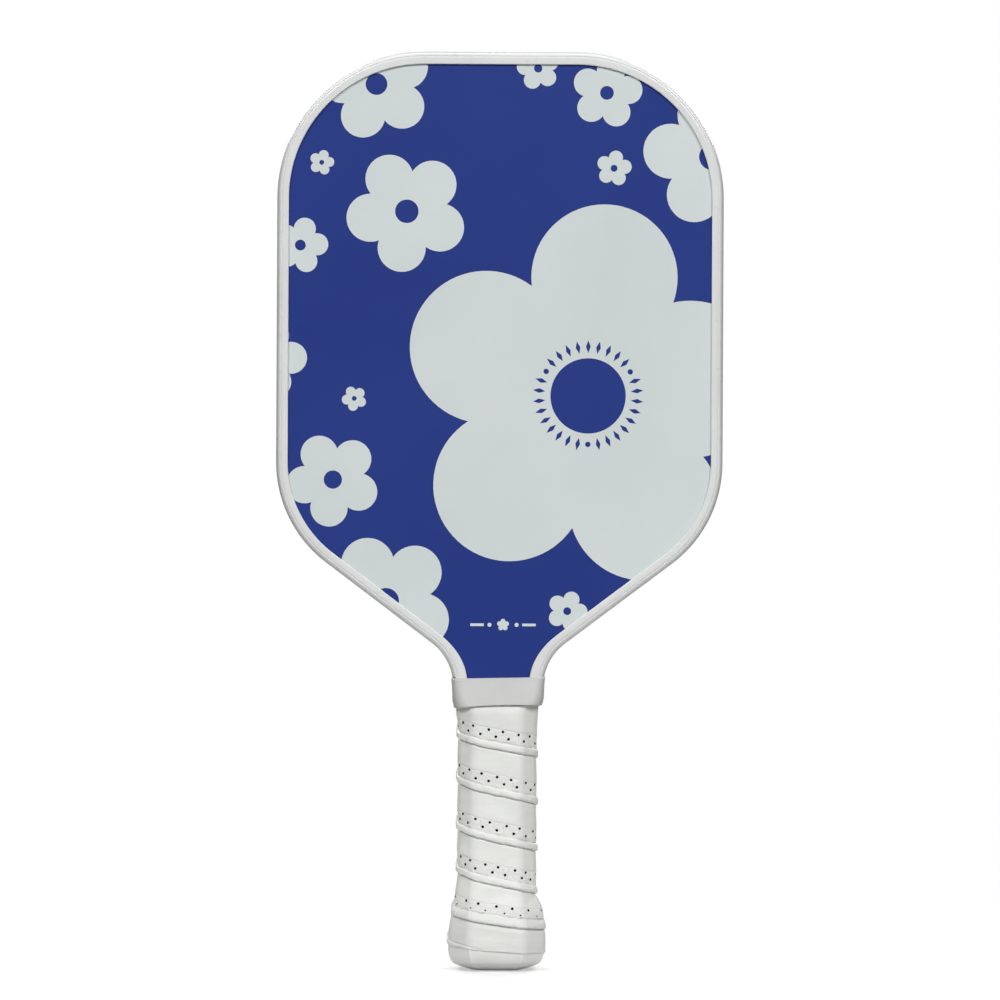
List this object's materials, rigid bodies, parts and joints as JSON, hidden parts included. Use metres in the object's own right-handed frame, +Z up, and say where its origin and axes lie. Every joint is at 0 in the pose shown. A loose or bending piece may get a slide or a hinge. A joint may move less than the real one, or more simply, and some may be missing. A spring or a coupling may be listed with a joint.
{
  "type": "pickleball paddle",
  "caption": "Rounded rectangular pickleball paddle with printed flower faces, a white edge guard, a smooth collar and a short octagonal handle wound with perforated ribbed tape.",
  "frame": {"origin": "centre of the flat end face of the butt", "axes": "+Z runs up the handle to the top edge of the blade, the front face looks towards -Y, +X is to the right seen from the front"},
  "size_m": [0.198, 0.0411, 0.407],
  "materials": {
    "core": "translucent white polypropylene, dull",
    "bond_film": "cured adhesive film",
    "face_sheet": "fibreglass laminate, fine weave",
    "graphic_film": "deep blue print under a satin clear coat",
    "white_ink": "cool white ink under a satin clear coat",
    "adhesive": "pale double sided foam tape",
    "edge_guard": "smooth glossy white",
    "handle_foam": "dense tan polyurethane foam",
    "butt_cap": "satin white moulding",
    "grip": "soft white synthetic leather, fine grain",
    "rib_cord": "soft foam cord",
    "finishing_tape": "white vinyl tape",
    "collar": "smooth off white rubber"
  },
  "bodies": {
    "root": {"honeycomb_core": "core", "front_bond_film": "bond_film", "back_bond_film": "bond_film", "front_face_sheet": "face_sheet", "back_face_sheet": "face_sheet", "front_graphic_film": "graphic_film", "back_graphic_film": "graphic_film", "front_flower_print": "white_ink", "back_flower_print": "white_ink", "edge_guard_tape": "adhesive", "edge_guard": "edge_guard", "handle_half_front": "handle_foam", "handle_half_back": "handle_foam", "butt_cap": "butt_cap", "grip_tape": "grip", "grip_rib_cord": "rib_cord", "finishing_tape": "finishing_tape", "collar": "collar"}
  },
  "joints": []
}
